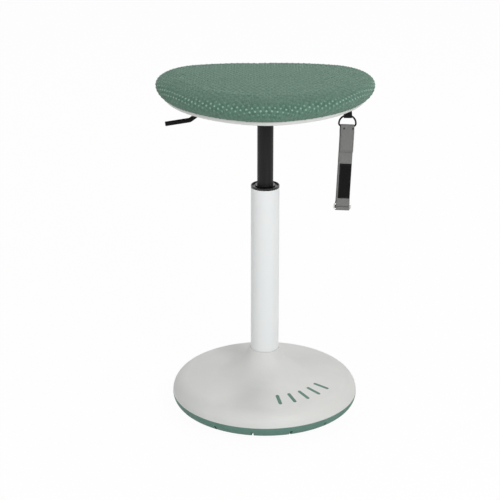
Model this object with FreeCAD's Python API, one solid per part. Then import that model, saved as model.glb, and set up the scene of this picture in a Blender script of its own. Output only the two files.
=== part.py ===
import FreeCAD, Part
import math
import os

# Wobble stool: a domed rocking base, a gas lift in an outer tube, a padded seat and a hanging strap.
# Millimetres. Z is up from the floor, X to the sitter's right, and the strap hangs at the front right.

os.makedirs("parts", exist_ok=True)
Vector = FreeCAD.Vector
RUNNING_FIT = 0.05
SOFT_GAP = 0.3
LOOSE_GAP = 0.3

# Base
base_r = 166.5
floor_flat_r = 60.0
dome_rise = 10.0
edge_inset = 18.0
edge_height = 21.0
sole_floor = 10.0
sole_lip = 9.0
groove_count = 15
groove_width = 4.2
groove_depth = 3.2
groove_phase = -98.0
shell_wall = 3.0
skirt_t = 2.5
skirt_h = 5.0
shoulder_r = 27.0
flare_slope = 7.4
flare_end = 72.0
hub_r = 28.5
hub_rise = 82.0
groove_inner_gap = 12.0
groove_top_gap = 8.0
well_step = 8.0
well_ledge = 7.0
plate_r = 115.0
plate_t = 4.0
plate_hole_r = 14.0
ballast_in_r = 52.0
ballast_boss_gap = 8.0
ballast_h = 28.0
base_screw_count = 6
base_screw_edge = 13.0
base_screw_r = 2.5
base_screw_head_r = 5.0
base_screw_head_h = 2.5
base_screw_sunk = 3.0
base_screw_length = 20.0
base_screw_tip_gap = 2.0
boss_r = 6.0
inlay_count = 5
inlay_first_angle = -78.0
inlay_step_angle = 12.0
inlay_edge_gap = 50.5
inlay_length = 30.0
inlay_width = 6.0
inlay_depth = 1.2
inlay_fit = 0.1
inlay_proud = 0.2

# Column
tube_r = 25.0
tube_wall = 2.0
tube_top_z = 417.0
tube_gap = 0.3
flange_r = 44.0
flange_t = 6.0
flange_bolt_count = 4
flange_bolt_pitch_r = 34.5
flange_bolt_r = 3.0
flange_bolt_head_r = 5.5
flange_bolt_head_h = 4.0
disc_lift = 8.0
disc_t = 4.0
bush_length = 150.0
collar_h = 4.2
collar_lip = 1.6
collar_recess = 2.6
collar_chamfer = 0.6
boss_wall = 3.6
boss_rise = 0.4

# Gas lift
cyl_r = 14.0
cyl_wall = 2.0
cyl_bottom_z = 140.0
cyl_chamfer = 0.8
cyl_cap_t = 3.0
cyl_below_pan = 5.0
taper_length = 33.0
taper_drop = 0.8
rod_r = 5.0
rod_tail_r = 4.0
rod_tail_over = 2.5
rod_neck_depth = 0.8
rod_top_z = 290.0
washer_t = 1.2
bearing_r = 11.5
ball_r = 2.0
ball_count = 9
ball_pitch_r = 8.3
ball_fit = 0.02
cage_t = 2.0
cage_edge = 0.8
cage_bore_gap = 1.6
cage_pocket_fit = 0.1
bumper_r = 13.0
bumper_h = 10.0
clip_t = 1.4
clip_r = 7.5
clip_gap = 4.4
clip_fit = 0.1
rod_washer_over = 1.5
piston_t = 12.0
seal_section = 2.0
guide_t = 14.0
seal_t = 6.0
valve_length = 58.0
valve_groove_depth = 1.5
valve_groove_rise = 8.0
valve_groove_w = 3.0
valve_stop = 0.5
button_r = 4.0
button_length = 19.0
button_rise = 5.7
button_land_r = 2.2
button_dome = 1.5
button_travel = 4.2

# Seat plan and heights
seat_half_width = 192.0
corner_y = 51.6
seat_back_y = 148.7
seat_front_y = -140.8
corner_r = 80.4
front_r = 118.4
side_r = 217.5
seat_wide_z = 588.0
seat_round_h = 20.7
seat_round_in = 39.0
seat_crown = 6.0
seat_under_h = 18.5
seat_under_in = 14.2
rim_h = 7.2
rim_round_in = 4.0
pan_t = 2.5
pan_hole_r = 32.0
cover_t = 2.0
hem_t = 1.5
hem_width = 18.0
board_t = 10.0
board_hole_r = 28.0
staple_count = 16
staple_width = 10.0
staple_wire = 0.8
staple_crown = 0.25
staple_leg = 5.0
nut_fit = 0.1
under_sections = 4
round_sections = 6
crown_sections = 9

# Seat plate and lever
hat_length = 140.0
hat_width = 150.0
hat_t = 2.5
channel_in = 50.0
channel_depth = 20.0
plate_bolt_x = 60.0
plate_bolt_y = 58.0
plate_bolt_r = 3.0
plate_bolt_head_r = 5.5
plate_bolt_head_h = 4.0
nut_flange_r = 9.0
nut_flange_t = 1.5
nut_barrel_r = 4.2
socket_r = 17.5
socket_below_plate = 5.3
socket_length = 16.0
lever_r = 4.0
lever_below_top = 5.0
lever_pivot_x = -34.0
lever_end_inset = 20.0
lever_end_drop = 21.7
lever_handle_run = 42.5
lever_bend_drop = 14.8
lever_bend_run = 19.3
lever_inner_bend_x = -27.0
lever_tongue_x = -14.5
lever_tip_x = 6.0
lever_bend_r = 8.0
block_back = 8.0
block_front = 3.0
block_width = 14.0
block_height = 12.0
pin_r = 2.5
pin_head_r = 4.5
pin_head_t = 2.0
pin_head_gap = 0.1
pan_screw_r = 2.0
pan_screw_head_r = 4.0
pan_screw_length = 9.0
pan_screw_head_h = 2.0
pan_screw_tip_gap = 1.0
pan_screw_places = ((115.0, 45.0), (-115.0, 45.0), (88.0, -38.0), (-88.0, -38.0), (0.0, 92.0), (0.0, -86.0))
pan_pad_r = 8.0

# Hanging strap
strap_inset = 53.0
strap_y = -38.0
strap_lean = 2.3
ring_below_pan = 5.55
ring_arch_r = 14.35
ring_wire_r = 1.5
ring_corner_r = 4.9
tab_width = 14.0
tab_t = 1.2
tab_flat_length = 26.0
tab_screw_inset = 17.0
tab_neck_t = 3.0
tab_screw_r = 1.55
tab_hole_r = 1.6
tab_head_r = 3.5
tab_head_h = 1.8
web_t = 1.5
web_width = 22.0
web_shift = 1.2
bar_clear = 0.8
fold_rise = 10.0
fold_end = 2.0
fold_slit = 0.4
slide_ease = 5.0
slide_bulge = 1.0
flap_length = 49.5
label_width = 20.2
label_length = 62.0
label_t = 0.8
label_drop = 70.0
label_shift = 1.6
slide_half_width = 14.25
slide_height = 8.5
slide_wire_r = 1.25
slide_corner_r = 2.5
slide_drop = 142.9
slide_bar_gap = 0.2
crease_half = 0.4
crease_depth = 1.0

# Worked out from the sizes above
sole_top_z = dome_rise + edge_height
base_screw_pitch_r = plate_r - base_screw_edge
ballast_out_r = base_screw_pitch_r - boss_r - ballast_boss_gap
inlay_pitch_r = base_r - inlay_edge_gap
tube_in_r = tube_r - tube_wall
plate_z = sole_floor
flange_z = plate_z + plate_t
disc_z = flange_z + disc_lift
bearing_z = disc_z + disc_t
ball_z = bearing_z + washer_t + ball_r
upper_washer_z = bearing_z + washer_t + 2 * ball_r
rod_z = upper_washer_z + washer_t
pan_bottom_z = seat_wide_z - seat_under_h - rim_h
rim_top_z = seat_wide_z - seat_under_h
cyl_top_z = pan_bottom_z - cyl_below_pan
socket_bottom_z = pan_bottom_z - channel_depth - socket_below_plate
lever_z = cyl_top_z - lever_below_top
lever_end_x = lever_end_inset - seat_half_width
lever_low_bend_x = lever_end_x + lever_handle_run
lever_high_bend_x = lever_low_bend_x + lever_bend_run
strap_x = seat_half_width - strap_inset
ring_pivot_z = pan_bottom_z - ring_below_pan
hem_z = pan_bottom_z + pan_t + SOFT_GAP
board_z = hem_z + hem_t
board_inset = seat_under_in + pan_t + 2 * SOFT_GAP + cover_t
cyl_in_r = cyl_r - cyl_wall
cyl_tip_r = cyl_r - taper_drop
hub_z = sole_top_z + hub_rise


def save(name, shape):
    shape.exportStep(f"parts/{name}.step")


def group(shapes):
    return Part.makeCompound(shapes)


def rod(radius, z0, z1, x=0.0, y=0.0):
    return Part.makeCylinder(radius, z1 - z0, Vector(x, y, z0))


def ring(outer_r, inner_r, z0, z1):
    return rod(outer_r, z0, z1).cut(rod(inner_r, z0 - 1, z1 + 1))


def box(x0, x1, y0, y1, z0, z1):
    return Part.makeBox(x1 - x0, y1 - y0, z1 - z0, Vector(x0, y0, z0))


def around(count, pitch_r, first=0.0):
    for i in range(count):
        angle = math.radians(first + 360.0 * i / count)
        yield pitch_r * math.cos(angle), pitch_r * math.sin(angle)


def flat_face(place, start, steps):
    """A face from lines and arcs: a step is an end point, or a pair of arc mid point and end point."""
    edges = []
    here = start
    for step in steps:
        if isinstance(step[0], tuple):
            edges.append(Part.Arc(place(*here), place(*step[0]), place(*step[1])).toShape())
            here = step[1]
        else:
            edges.append(Part.LineSegment(place(*here), place(*step)).toShape())
            here = step
    edges.append(Part.LineSegment(place(*here), place(*start)).toShape())
    return Part.Face(Part.Wire(edges))


def turned(start, *steps):
    face = flat_face(lambda r, z: Vector(r, 0, z), start, steps)
    return face.revolve(Vector(0, 0, 0), Vector(0, 0, 1), 360)


def round_wire(points, bend_r, wire_r):
    """A bent round rod through points, each inner corner an arc of the bend radius."""
    edges = []
    here = points[0]
    for before, corner, after in zip(points, points[1:], points[2:]):
        to_before = (before - corner).normalize()
        to_after = (after - corner).normalize()
        half = to_before.getAngle(to_after) / 2
        reach = bend_r / math.tan(half)
        begin = corner + to_before * reach
        end = corner + to_after * reach
        middle_line = (to_before + to_after).normalize()
        middle = corner + middle_line * (bend_r / math.sin(half) - bend_r)
        edges.append(Part.LineSegment(here, begin).toShape())
        edges.append(Part.Arc(begin, middle, end).toShape())
        here = end
    edges.append(Part.LineSegment(here, points[-1]).toShape())
    return swept(edges, wire_r)


def swept(edges, wire_r):
    path = Part.Wire(edges)
    start = path.OrderedVertexes[0].Point
    first = path.OrderedEdges[0]
    direction = first.tangentAt(first.FirstParameter)
    circle = Part.Wire(Part.makeCircle(wire_r, start, direction))
    return path.makePipeShell([circle], True, False)


# Meridian of the base shell

def flare(offset):
    """Points on the shell's outer meridian, moved inwards by the offset: shoulder, slope and flare."""
    slope = math.radians(flare_slope)
    steep = math.radians(flare_end)
    shoulder_c = (base_r - shoulder_r, sole_top_z)
    r_s = shoulder_r - offset
    shoulder_start = (shoulder_c[0] + r_s, sole_top_z)
    shoulder_mid_angle = (math.pi / 2 + slope) / 2 - slope
    shoulder_mid = (shoulder_c[0] + r_s * math.cos(shoulder_mid_angle + slope * 0.5),
                    shoulder_c[1] + r_s * math.sin(shoulder_mid_angle + slope * 0.5))
    shoulder_end = (shoulder_c[0] + r_s * math.sin(slope), shoulder_c[1] + r_s * math.cos(slope))
    outer_end = (shoulder_c[0] + shoulder_r * math.sin(slope), shoulder_c[1] + shoulder_r * math.cos(slope))
    run = math.sin(steep) - math.sin(slope)
    climb = math.cos(slope) - math.cos(steep)
    level = outer_end[1] + math.tan(slope) * (outer_end[0] - hub_r)
    flare_r = (hub_z - level) / (climb - math.tan(slope) * run)
    centre = (hub_r + flare_r * math.sin(steep), hub_z + flare_r * math.cos(steep))
    r_f = flare_r + offset

    def on_flare(angle):
        return centre[0] - r_f * math.sin(angle), centre[1] - r_f * math.cos(angle)

    return shoulder_start, shoulder_mid, shoulder_end, on_flare(slope), on_flare((slope + steep) / 2), \
        on_flare(steep)


def shell_body(offset, inner_r):
    start, mid, end, flare_start, flare_mid, flare_stop = flare(offset)
    return turned(start, (mid, end), flare_start, (flare_mid, flare_stop), (inner_r, flare_stop[1]),
                  (inner_r, sole_top_z))


def inlay_prism(grow):
    prisms = []
    for i in range(inlay_count):
        half = inlay_length / 2 - inlay_width / 2
        r_end = inlay_width / 2 + grow
        body = box(inlay_pitch_r - half, inlay_pitch_r + half, -r_end, r_end, sole_top_z, hub_z)
        for x in (inlay_pitch_r - half, inlay_pitch_r + half):
            body = body.fuse(rod(r_end, sole_top_z, hub_z, x, 0))
        body.rotate(Vector(0, 0, 0), Vector(0, 0, 1), inlay_first_angle + i * inlay_step_angle)
        prisms.append(body.removeSplitter())
    return prisms


def base_sole():
    edge_c = base_r - edge_inset
    dome_r = (edge_c ** 2 - floor_flat_r ** 2) / (2 * dome_rise)
    mid_r = (edge_c + floor_flat_r) / 2
    dome_mid_z = (mid_r ** 2 - floor_flat_r ** 2) / (2 * dome_r)
    corner = math.sqrt(0.5)
    edge_mid = (edge_c + edge_inset * corner, sole_top_z - edge_height * corner)
    inner_r = base_r - sole_lip

    def outer(offset):
        return turned((0, offset), (floor_flat_r, offset),
                      ((mid_r, dome_mid_z + offset), (edge_c, dome_rise + offset)),
                      ((edge_mid[0] - offset, edge_mid[1] + offset), (base_r - offset, sole_top_z)),
                      (0, sole_top_z))

    well = turned((0, sole_floor), (plate_r + plate_t, sole_floor),
                  (inner_r - well_step, sole_floor + well_ledge),
                  (inner_r, sole_floor + 2 * well_ledge), (inner_r, sole_top_z + 1), (0, sole_top_z + 1))
    sole = outer(0).cut(well)
    grooves = []
    for i in range(groove_count):
        bar = box(floor_flat_r + groove_inner_gap, base_r + 5, -groove_width / 2, groove_width / 2,
                  -1, sole_top_z - groove_top_gap)
        bar.rotate(Vector(0, 0, 0), Vector(0, 0, 1), groove_phase + 360.0 * i / groove_count)
        grooves.append(bar)
    cutter = group(grooves).cut(outer(groove_depth))
    sole = sole.cut(cutter)
    for x, y in around(base_screw_count, base_screw_pitch_r):
        sole = sole.cut(rod(base_screw_r + LOOSE_GAP, -1, sole_floor + 1, x, y))
        sole = sole.cut(rod(base_screw_head_r + LOOSE_GAP, -1, sole_floor - base_screw_sunk, x, y))
    return sole


def base_shell():
    shell = shell_body(0, tube_r + tube_gap).cut(shell_body(shell_wall, 0))
    inside = rod(base_r, 0, sole_top_z).fuse(shell_body(shell_wall / 2, 0))
    skirt_r = base_r - sole_lip - LOOSE_GAP
    shell = shell.fuse(ring(skirt_r, skirt_r - skirt_t, sole_top_z - skirt_h, hub_z).common(inside))
    for x, y in around(base_screw_count, base_screw_pitch_r):
        shell = shell.fuse(rod(boss_r, flange_z, hub_z, x, y).common(inside))
    for x, y in around(base_screw_count, base_screw_pitch_r):
        shell = shell.cut(rod(base_screw_r, flange_z - 1, flange_z + base_screw_length, x, y))
    pocket = group(inlay_prism(inlay_fit)).cut(shell_body(inlay_depth + inlay_fit, tube_r))
    return shell.cut(pocket).removeSplitter()


def base_inlays():
    bars = []
    for prism in inlay_prism(0):
        bars.append(prism.common(shell_body(-inlay_proud, tube_r)).cut(shell_body(inlay_depth, tube_r)))
    return group(bars)


def base_screws():
    screws = []
    head_z = sole_floor - base_screw_sunk
    tip_z = flange_z + base_screw_length - base_screw_tip_gap
    for x, y in around(base_screw_count, base_screw_pitch_r):
        head = rod(base_screw_head_r, head_z - base_screw_head_h, head_z, x, y)
        shank = rod(base_screw_r - RUNNING_FIT, head_z, tip_z, x, y)
        screws.append(head.fuse(shank).removeSplitter())
    return group(screws)


def base_plate():
    plate = ring(plate_r, plate_hole_r, plate_z, flange_z)
    for x, y in around(base_screw_count, base_screw_pitch_r):
        plate = plate.cut(rod(base_screw_r + LOOSE_GAP, plate_z - 1, flange_z + 1, x, y))
    for x, y in around(flange_bolt_count, flange_bolt_pitch_r, 45):
        plate = plate.cut(rod(flange_bolt_r + RUNNING_FIT, plate_z - 1, flange_z + 1, x, y))
    return plate


def column_flange():
    flange = ring(flange_r, tube_r, flange_z, flange_z + flange_t)
    for x, y in around(flange_bolt_count, flange_bolt_pitch_r, 45):
        flange = flange.cut(rod(flange_bolt_r + RUNNING_FIT, flange_z - 1, flange_z + flange_t + 1, x, y))
    return flange


def flange_bolts():
    bolts = []
    for x, y in around(flange_bolt_count, flange_bolt_pitch_r, 45):
        top = flange_z + flange_t
        head = rod(flange_bolt_head_r, top, top + flange_bolt_head_h, x, y)
        socket = rod(flange_bolt_r * 0.8, top + flange_bolt_head_h / 2, top + flange_bolt_head_h + 1, x, y)
        bolts.append(head.fuse(rod(flange_bolt_r, plate_z, top, x, y)).removeSplitter().cut(socket))
    return group(bolts)


def guide_bush():
    top = tube_top_z + collar_h
    recess_r = tube_r - collar_lip
    bore_r = cyl_r + RUNNING_FIT
    neck_r = bore_r + boss_wall
    return turned((bore_r, tube_top_z - bush_length), (tube_in_r - RUNNING_FIT, tube_top_z - bush_length),
                  (tube_in_r - RUNNING_FIT, tube_top_z), (tube_r, tube_top_z), (tube_r, top - collar_chamfer),
                  (tube_r - collar_chamfer, top), (recess_r, top), (recess_r, top - collar_recess),
                  (neck_r, top - collar_recess), (neck_r, top + boss_rise), (bore_r, top + boss_rise))


def bearing_cage():
    half = cage_t / 2
    cage = ring(bearing_r - cage_edge, rod_tail_r + cage_bore_gap, ball_z - half, ball_z + half)
    for x, y in around(ball_count, ball_pitch_r):
        cage = cage.cut(Part.makeSphere(ball_r + cage_pocket_fit, Vector(x, y, ball_z)))
    return cage


def bearing_balls():
    balls = []
    for x, y in around(ball_count, ball_pitch_r):
        balls.append(Part.makeSphere(ball_r - ball_fit, Vector(x, y, ball_z)))
    return group(balls)


def piston_rod():
    tail_z = disc_z - 2 * clip_t - rod_tail_over
    neck = ring(rod_tail_r + 1, rod_tail_r - rod_neck_depth, disc_z - 2 * clip_t, disc_z - clip_t)
    body = rod(rod_tail_r, tail_z, rod_z).cut(neck)
    return body.fuse(rod(rod_r, rod_z, rod_top_z)).removeSplitter()


def retaining_clip():
    clip = ring(clip_r, rod_tail_r - rod_neck_depth + clip_fit, disc_z - 2 * clip_t + clip_fit / 2,
                disc_z - clip_t - clip_fit / 2)
    gap = box(0, clip_r + 1, -clip_gap / 2, clip_gap / 2, disc_z - 2 * clip_t - 1, disc_z)
    return clip.cut(gap)


def piston():
    low = rod_top_z - piston_t
    body = ring(cyl_in_r - RUNNING_FIT, rod_r, low, rod_top_z)
    middle = low + piston_t / 2
    half = seal_section / 2
    return body.cut(ring(cyl_in_r + 1, cyl_in_r - seal_section, middle - half, middle + half))


def piston_seal():
    middle = rod_top_z - piston_t / 2
    half = seal_section / 2 - RUNNING_FIT
    return ring(cyl_in_r - ball_fit, cyl_in_r - seal_section + RUNNING_FIT, middle - half, middle + half)


def gas_cylinder():
    taper_z = cyl_top_z - taper_length
    outside = turned((0, cyl_bottom_z), (cyl_r - cyl_chamfer, cyl_bottom_z), (cyl_r, cyl_bottom_z + cyl_chamfer),
                     (cyl_r, taper_z), (cyl_tip_r, cyl_top_z), (0, cyl_top_z))
    bore = rod(cyl_in_r, cyl_bottom_z - 1, cyl_top_z - cyl_cap_t)
    return outside.cut(bore).cut(rod(button_r + RUNNING_FIT, cyl_top_z - cyl_cap_t - 1, cyl_top_z + 1))


def valve_block():
    top = cyl_top_z - cyl_cap_t
    low = top - valve_length
    well_z = cyl_top_z + button_rise - button_length - button_travel - valve_stop
    body = rod(cyl_in_r, low, top).cut(rod(button_r + RUNNING_FIT, well_z, top + 1))
    groove_z = low + valve_groove_rise
    return body.cut(ring(cyl_in_r + 1, cyl_in_r - valve_groove_depth, groove_z, groove_z + valve_groove_w))


def release_button():
    top = cyl_top_z + button_rise
    return turned((0, top - button_length), (button_r, top - button_length), (button_r, top - button_dome),
                  (button_land_r, top), (0, top))


# Seat plan: a wide rounded triangle made of tangent arcs

def seat_plan():
    corner_c = Vector(seat_half_width - corner_r, corner_y, 0)
    front_c = Vector(0, seat_front_y + front_r, 0)
    side = corner_c.x
    back = seat_back_y - corner_y
    back_r = (side ** 2 + back ** 2 - corner_r ** 2) / (2 * (back - corner_r))
    back_c = Vector(0, seat_back_y - back_r, 0)
    to_corner = side_r - corner_r
    to_front = side_r - front_r
    between = front_c - corner_c
    distance = between.Length
    along = (to_corner ** 2 - to_front ** 2 + distance ** 2) / (2 * distance)
    across = math.sqrt(to_corner ** 2 - along ** 2)
    unit = between / distance
    side_c = corner_c + unit * along + Vector(unit.y, -unit.x, 0) * across
    return corner_c, front_c, back_c, back_r, side_c


def seat_outline(inset, z, scale=1.0):
    corner_c, front_c, back_c, back_r, side_c = seat_plan()
    middle = Vector(0, (seat_back_y + seat_front_y) / 2, 0)
    from_back = (corner_c - back_c).normalize()
    from_side = (corner_c - side_c).normalize()
    to_front = (front_c - side_c).normalize()
    joins = [back_c + Vector(0, back_r - inset, 0),
             corner_c + from_back * (corner_r - inset),
             corner_c + from_side * (corner_r - inset),
             front_c + to_front * (front_r - inset),
             front_c + Vector(0, inset - front_r, 0)]
    middles = [back_c + (from_back + Vector(0, 1, 0)).normalize() * (back_r - inset),
               corner_c + (from_back + from_side).normalize() * (corner_r - inset),
               side_c + (from_side + to_front).normalize() * (side_r - inset),
               front_c + (to_front + Vector(0, -1, 0)).normalize() * (front_r - inset)]

    def put(point, mirror):
        moved = middle + (point - middle) * scale
        return Vector(moved.x * mirror, moved.y, z)

    edges = []
    for i, mid in enumerate(middles):
        edges.append(Part.Arc(put(joins[i], 1), put(mid, 1), put(joins[i + 1], 1)).toShape())
    for i in reversed(range(len(middles))):
        edges.append(Part.Arc(put(joins[i + 1], -1), put(middles[i], -1), put(joins[i], -1)).toShape())
    return Part.Wire(edges)


def seat_slab(inset, z0, z1):
    return Part.Face(seat_outline(inset, z0)).extrude(Vector(0, 0, z1 - z0))


def cushion(inset, bottom_z):
    """The padded form: sides drawn in below the widest line, a rounded top edge and a low crown."""
    sections = []
    for i in range(under_sections):
        angle = math.pi / 2 * (under_sections - i) / under_sections
        sections.append(seat_outline(inset + seat_under_in * (1 - math.cos(angle)),
                                     seat_wide_z - seat_under_h * math.sin(angle)))
    for i in range(round_sections):
        angle = math.pi / 2 * i / (round_sections - 1)
        sections.append(seat_outline(inset + (seat_round_in - inset) * (1 - math.cos(angle)),
                                     seat_wide_z + (seat_round_h - inset) * math.sin(angle)))
    top = seat_wide_z + seat_round_h - inset
    for i in range(1, crown_sections):
        scale = 1 - i / crown_sections
        sections.append(seat_outline(seat_round_in, top + seat_crown * (1 - scale ** 2), scale))
    form = Part.makeLoft(sections, True, False)
    if bottom_z > rim_top_z:
        form = form.cut(box(-seat_half_width, seat_half_width, seat_front_y, seat_back_y,
                            rim_top_z - 1, bottom_z))
    return form


def seat_cover():
    cap = cushion(0, rim_top_z + SOFT_GAP).cut(cushion(cover_t, rim_top_z))
    skirt_in = seat_under_in + pan_t + SOFT_GAP
    skirt = seat_slab(skirt_in, hem_z, rim_top_z + SOFT_GAP + cover_t)
    hole = seat_slab(skirt_in + cover_t, board_z, rim_top_z + 4)
    neck = seat_slab(0, rim_top_z + SOFT_GAP, rim_top_z + SOFT_GAP + cover_t)
    neck = neck.common(cushion(0, rim_top_z + SOFT_GAP)).cut(seat_slab(skirt_in + cover_t, 0, seat_wide_z))
    hem_hole = seat_slab(skirt_in + cover_t + hem_width, hem_z - 1, board_z + 1)
    cover = cap.fuse([skirt.cut(hole).cut(hem_hole), neck]).removeSplitter()
    return cover.cut(group(cover_staples()))


def seat_foam():
    foam = cushion(cover_t + SOFT_GAP, rim_top_z + 2 * SOFT_GAP + cover_t)
    pocket = seat_slab(board_inset - SOFT_GAP, board_z - 1, board_z + board_t + SOFT_GAP)
    return foam.cut(pocket)


def bolt_places():
    return [(sx * plate_bolt_x, sy * plate_bolt_y) for sx in (-1, 1) for sy in (-1, 1)]


def seat_board():
    top = board_z + board_t
    board = seat_slab(board_inset, board_z, top)
    board = board.cut(rod(board_hole_r, board_z - 1, top + 1))
    for x, y in bolt_places():
        board = board.cut(rod(nut_barrel_r + nut_fit, board_z - 1, top + 1, x, y))
        board = board.cut(rod(nut_flange_r + nut_fit, top - nut_flange_t, top + 1, x, y))
    for x, y in pan_screw_places:
        board = board.cut(rod(pan_screw_r, board_z - 1, board_z + pan_screw_length, x, y))
    return board.cut(group(cover_staples()))


def t_nuts():
    nuts = []
    top = board_z + board_t
    for x, y in bolt_places():
        nut = rod(nut_flange_r, top - nut_flange_t, top, x, y).fuse(rod(nut_barrel_r, board_z, top, x, y))
        nuts.append(nut.removeSplitter().cut(rod(plate_bolt_r + RUNNING_FIT, board_z - 1, top + 1, x, y)))
    return group(nuts)


def seat_shell():
    sections = []
    for angle in (90.0, 60.0, 30.0, 0.0):
        t = math.radians(angle)
        sections.append(seat_outline(seat_under_in + rim_round_in * (1 - math.cos(t)),
                                     rim_top_z - rim_h * math.sin(t)))
    shell = Part.makeLoft(sections, True, False)
    shell = shell.cut(seat_slab(seat_under_in + pan_t, pan_bottom_z + pan_t, rim_top_z + 1))
    pads = [rod(pan_pad_r, pan_bottom_z + 1, board_z, x, y) for x, y in bolt_places() + list(pan_screw_places)]
    shell = shell.fuse(pads)
    holes = [rod(plate_bolt_r + LOOSE_GAP, pan_bottom_z - 1, board_z + 1, x, y) for x, y in bolt_places()]
    holes += [rod(pan_screw_r + LOOSE_GAP, pan_bottom_z - 1, board_z + 1, x, y) for x, y in pan_screw_places]
    holes.append(rod(tab_hole_r, pan_bottom_z - 1, board_z, strap_x, strap_y + tab_screw_inset))
    holes.append(rod(pan_hole_r, pan_bottom_z - 1, board_z + 1))
    return shell.cut(holes).removeSplitter()


def pan_screws():
    screws = []
    tip_z = board_z + pan_screw_length - pan_screw_tip_gap
    for x, y in pan_screw_places:
        head = rod(pan_screw_head_r, pan_bottom_z - pan_screw_head_h, pan_bottom_z, x, y)
        shank = rod(pan_screw_r - RUNNING_FIT, pan_bottom_z, tip_z, x, y)
        screws.append(head.fuse(shank).removeSplitter())
    return group(screws)


def cover_staples():
    """Wire staples that hold the cover's hem to the underside of the board."""
    staples = []
    path = seat_outline(board_inset + hem_width / 2, hem_z)
    half = staple_width / 2
    wire = staple_wire / 2
    for point in path.discretize(Number=staple_count + 1)[:-1]:
        across = math.degrees(math.atan2(point.y, point.x))
        crown = box(-wire, wire, -half, half, hem_z - staple_crown, hem_z)
        legs = [box(-wire, wire, -half, -half + staple_wire, hem_z, board_z + staple_leg),
                box(-wire, wire, half - staple_wire, half, hem_z, board_z + staple_leg)]
        staple = crown.fuse(legs).removeSplitter()
        staple.rotate(Vector(0, 0, 0), Vector(0, 0, 1), across)
        staple.translate(Vector(point.x, point.y, 0))
        staples.append(staple)
    return staples


def seat_plate():
    half = hat_length / 2
    wall = channel_in / 2
    top = pan_bottom_z
    web_z = top - channel_depth
    plate = box(-half, half, -wall - hat_t, wall + hat_t, web_z, web_z + hat_t)
    sides = []
    for s in (-1, 1):
        y0, y1 = sorted((s * wall, s * (wall + hat_t)))
        sides.append(box(-half, half, y0, y1, web_z, top))
        y0, y1 = sorted((s * wall, s * hat_width / 2))
        sides.append(box(-half, half, y0, y1, top - hat_t, top))
    plate = plate.fuse(sides).removeSplitter()
    holes = [rod(plate_bolt_r + LOOSE_GAP, top - hat_t - 1, top + 1, x, y) for x, y in bolt_places()]
    holes.append(rod(socket_r, web_z - 1, web_z + hat_t + 1))
    pin_start = Vector(lever_pivot_x, -channel_in, lever_z)
    holes.append(Part.makeCylinder(pin_r + RUNNING_FIT, 2 * channel_in, pin_start, Vector(0, 1, 0)))
    return plate.cut(holes)


def taper_socket():
    taper_z = cyl_top_z - taper_length
    top = socket_bottom_z + socket_length

    def bore(z):
        return cyl_r - taper_drop * (z - taper_z) / taper_length + RUNNING_FIT

    return turned((bore(socket_bottom_z), socket_bottom_z), (socket_r, socket_bottom_z), (socket_r, top),
                  (bore(top), top))


def plate_bolts():
    bolts = []
    top = board_z + board_t - nut_flange_t
    for x, y in bolt_places():
        low = pan_bottom_z - hat_t
        head = rod(plate_bolt_head_r, low - plate_bolt_head_h, low, x, y)
        socket = rod(plate_bolt_r * 0.8, low - plate_bolt_head_h - 1, low - plate_bolt_head_h / 2, x, y)
        bolts.append(head.fuse(rod(plate_bolt_r, low, top, x, y)).removeSplitter().cut(socket))
    return group(bolts)


def lever_path():
    tongue_z = cyl_top_z + button_rise + LOOSE_GAP + lever_r
    places = [(lever_end_x, lever_z - lever_end_drop), (lever_low_bend_x, lever_z - lever_bend_drop),
              (lever_high_bend_x, lever_z), (lever_inner_bend_x, lever_z),
              (lever_tongue_x, tongue_z), (lever_tip_x, tongue_z)]
    return [Vector(x, 0, z) for x, z in places]


def lever_block():
    x0 = lever_pivot_x - block_back
    x1 = lever_pivot_x + block_front
    z0 = lever_z - block_height / 2
    body = box(x0, x1, -block_width / 2, block_width / 2, z0, z0 + block_height)
    bore = Part.makeCylinder(lever_r, x1 - x0 + 2, Vector(x0 - 1, 0, lever_z), Vector(1, 0, 0))
    return body.cut(bore)


def lever_pins():
    """Two short pins, one each side, so that the rod between them stays whole."""
    pins = []
    for s in (-1, 1):
        reach = channel_in / 2 + hat_t + pin_head_t
        outward = Vector(0, s, 0)
        start = Vector(lever_pivot_x, s * block_width / 2, lever_z)
        head_start = Vector(lever_pivot_x, s * (reach - pin_head_t + pin_head_gap), lever_z)
        shank = Part.makeCylinder(pin_r, reach - block_width / 2, start, outward)
        head = Part.makeCylinder(pin_head_r, pin_head_t, head_start, outward)
        pins.append(shank.fuse(head).removeSplitter())
    return group(pins)


# Hanging strap: built upright below the ring's pivot, then leaned

def lean(shape):
    shape.rotate(Vector(strap_x, strap_y, ring_pivot_z), Vector(0, 1, 0), strap_lean)
    return shape


arch_z = ring_pivot_z - ring_arch_r
bar_z = arch_z - ring_corner_r
fold_z = bar_z - SOFT_GAP
bar_hole_r = ring_wire_r + bar_clear
fold_r = bar_hole_r + web_t
flap_z = fold_z + fold_r - flap_length
slide_high_z = fold_z + fold_r - slide_drop
slide_low_z = slide_high_z - slide_height
arch_drop = ring_arch_r - math.sqrt(ring_arch_r ** 2 - (tab_width / 2) ** 2)
swing_r = ring_wire_r + arch_drop + tab_width / 2 * math.sin(math.radians(strap_lean)) + LOOSE_GAP


def strap_point(x, z):
    return Vector(strap_x + x, strap_y, z)


def strap_section(y, z):
    return Vector(strap_x, strap_y + y, z)


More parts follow.
